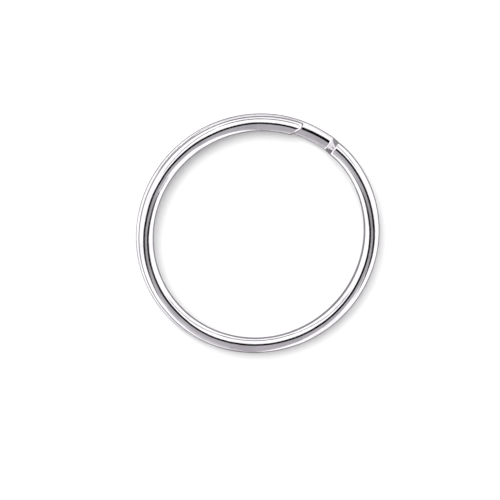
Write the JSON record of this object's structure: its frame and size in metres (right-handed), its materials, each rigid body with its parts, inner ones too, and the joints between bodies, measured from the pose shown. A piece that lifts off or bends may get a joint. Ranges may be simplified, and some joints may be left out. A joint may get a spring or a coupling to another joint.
{
  "type": "split key ring",
  "caption": "Round split key ring of flattened, bright-plated spring wire: two coils lie flat on each other, joined by a joggle, with two free tips that prise apart.",
  "frame": {"origin": "middle of the ring as seen from above, on the plane that the ring rests on", "axes": "+Z is the axis of the ring, from the lower coil to the upper coil; +X points at the joggle, where the wire drops from one coil to the other"},
  "size_m": [0.0285, 0.0276, 0.0025],
  "materials": {
    "nickel_plate": "polished"
  },
  "bodies": {
    "base": {"joggle": "nickel_plate", "upper_base_1": "nickel_plate", "upper_base_2": "nickel_plate", "upper_base_3": "nickel_plate", "upper_base_4": "nickel_plate", "upper_base_5": "nickel_plate", "lower_base_1": "nickel_plate", "lower_base_2": "nickel_plate", "lower_base_3": "nickel_plate", "lower_base_4": "nickel_plate", "lower_base_5": "nickel_plate"},
    "upper_arm_1": {"upper_arm_1": "nickel_plate"},
    "upper_arm_2": {"upper_arm_2": "nickel_plate"},
    "upper_arm_3": {"upper_arm_3": "nickel_plate"},
    "upper_arm_4": {"upper_arm_4": "nickel_plate"},
    "upper_arm_5": {"upper_arm_5": "nickel_plate"},
    "upper_tip": {"upper_tip": "nickel_plate"},
    "lower_arm_1": {"lower_arm_1": "nickel_plate"},
    "lower_arm_2": {"lower_arm_2": "nickel_plate"},
    "lower_arm_3": {"lower_arm_3": "nickel_plate"},
    "lower_arm_4": {"lower_arm_4": "nickel_plate"},
    "lower_arm_5": {"lower_arm_5": "nickel_plate"},
    "lower_tip": {"lower_tip": "nickel_plate"}
  },
  "joints": [
    {"name": "upper_arm_lift", "type": "hinge", "parent": "base", "child": "upper_arm_1", "pos_m": [-0.01231, -0.00403, 0.00185], "axis": [0.9984, 0.0565, 0], "range_deg": [0, 0.871], "stiffness_Nm_per_rad": 2},
    {"name": "upper_flex_2", "type": "hinge", "parent": "upper_arm_1", "child": "upper_arm_2", "pos_m": [-0.01269, 0.00269, 0.00185], "axis": [0.7279, -0.6857, 0], "range_deg": [0, 1.75]},
    {"name": "upper_flex_3", "type": "hinge", "parent": "upper_arm_2", "child": "upper_arm_3", "pos_m": [-0.00952, 0.00861, 0.00185], "axis": [-0.0967, -0.9953, 0], "range_deg": [0, 2.04]},
    {"name": "upper_flex_4", "type": "hinge", "parent": "upper_arm_3", "child": "upper_arm_4", "pos_m": [-0.00388, 0.01208, 0.00185], "axis": [-0.7467, -0.6652, 0], "range_deg": [0, 2.29]},
    {"name": "upper_flex_5", "type": "hinge", "parent": "upper_arm_4", "child": "upper_arm_5", "pos_m": [0.00269, 0.01242, 0.00185], "axis": [-0.9994, -0.0349, 0], "range_deg": [0, 2.51]},
    {"name": "upper_tip_flex", "type": "hinge", "parent": "upper_arm_5", "child": "upper_tip", "pos_m": [0.00869, 0.00958, 0.00185], "axis": [-0.8109, 0.5852, 0], "range_deg": [0, 2.78]},
    {"name": "lower_arm_lift", "type": "hinge", "parent": "base", "child": "lower_arm_1", "pos_m": [-0.01239, 0.00476, 0.0006], "axis": [0.9946, -0.1041, 0], "range_deg": [0, 0.85], "stiffness_Nm_per_rad": 2},
    {"name": "lower_flex_2", "type": "hinge", "parent": "lower_arm_1", "child": "lower_arm_2", "pos_m": [-0.01311, -0.0021, 0.0006], "axis": [0.7581, 0.6521, 0], "range_deg": [0, 1.72]},
    {"name": "lower_flex_3", "type": "hinge", "parent": "lower_arm_2", "child": "lower_arm_3", "pos_m": [-0.01016, -0.00828, 0.0006], "axis": [-0.0437, 0.999, 0], "range_deg": [0, 2]},
    {"name": "lower_flex_4", "type": "hinge", "parent": "lower_arm_3", "child": "lower_arm_4", "pos_m": [-0.00459, -0.01209, 0.0006], "axis": [-0.7092, 0.705, 0], "range_deg": [0, 2.24]},
    {"name": "lower_flex_5", "type": "hinge", "parent": "lower_arm_4", "child": "lower_arm_5", "pos_m": [0.00207, -0.01278, 0.0006], "axis": [-0.9962, 0.0868, 0], "range_deg": [0, 2.48]},
    {"name": "lower_tip_flex", "type": "hinge", "parent": "lower_arm_5", "child": "lower_tip", "pos_m": [0.0083, -0.0102, 0.0006], "axis": [-0.8403, -0.5421, 0], "range_deg": [0, 2.75]}
  ],
  "couplings": [
    {"joint": "upper_flex_2", "follows": "upper_arm_lift", "ratio": 1.9912},
    {"joint": "upper_flex_3", "follows": "upper_arm_lift", "ratio": 2.3147},
    {"joint": "upper_flex_4", "follows": "upper_arm_lift", "ratio": 2.6092},
    {"joint": "upper_flex_5", "follows": "upper_arm_lift", "ratio": 2.8635},
    {"joint": "upper_tip_flex", "follows": "upper_arm_lift", "ratio": 3.1702},
    {"joint": "lower_flex_2", "follows": "lower_arm_lift", "ratio": 2.0012},
    {"joint": "lower_flex_3", "follows": "lower_arm_lift", "ratio": 2.3242},
    {"joint": "lower_flex_4", "follows": "lower_arm_lift", "ratio": 2.617},
    {"joint": "lower_flex_5", "follows": "lower_arm_lift", "ratio": 2.8925},
    {"joint": "lower_tip_flex", "follows": "lower_arm_lift", "ratio": 3.2149}
  ]
}
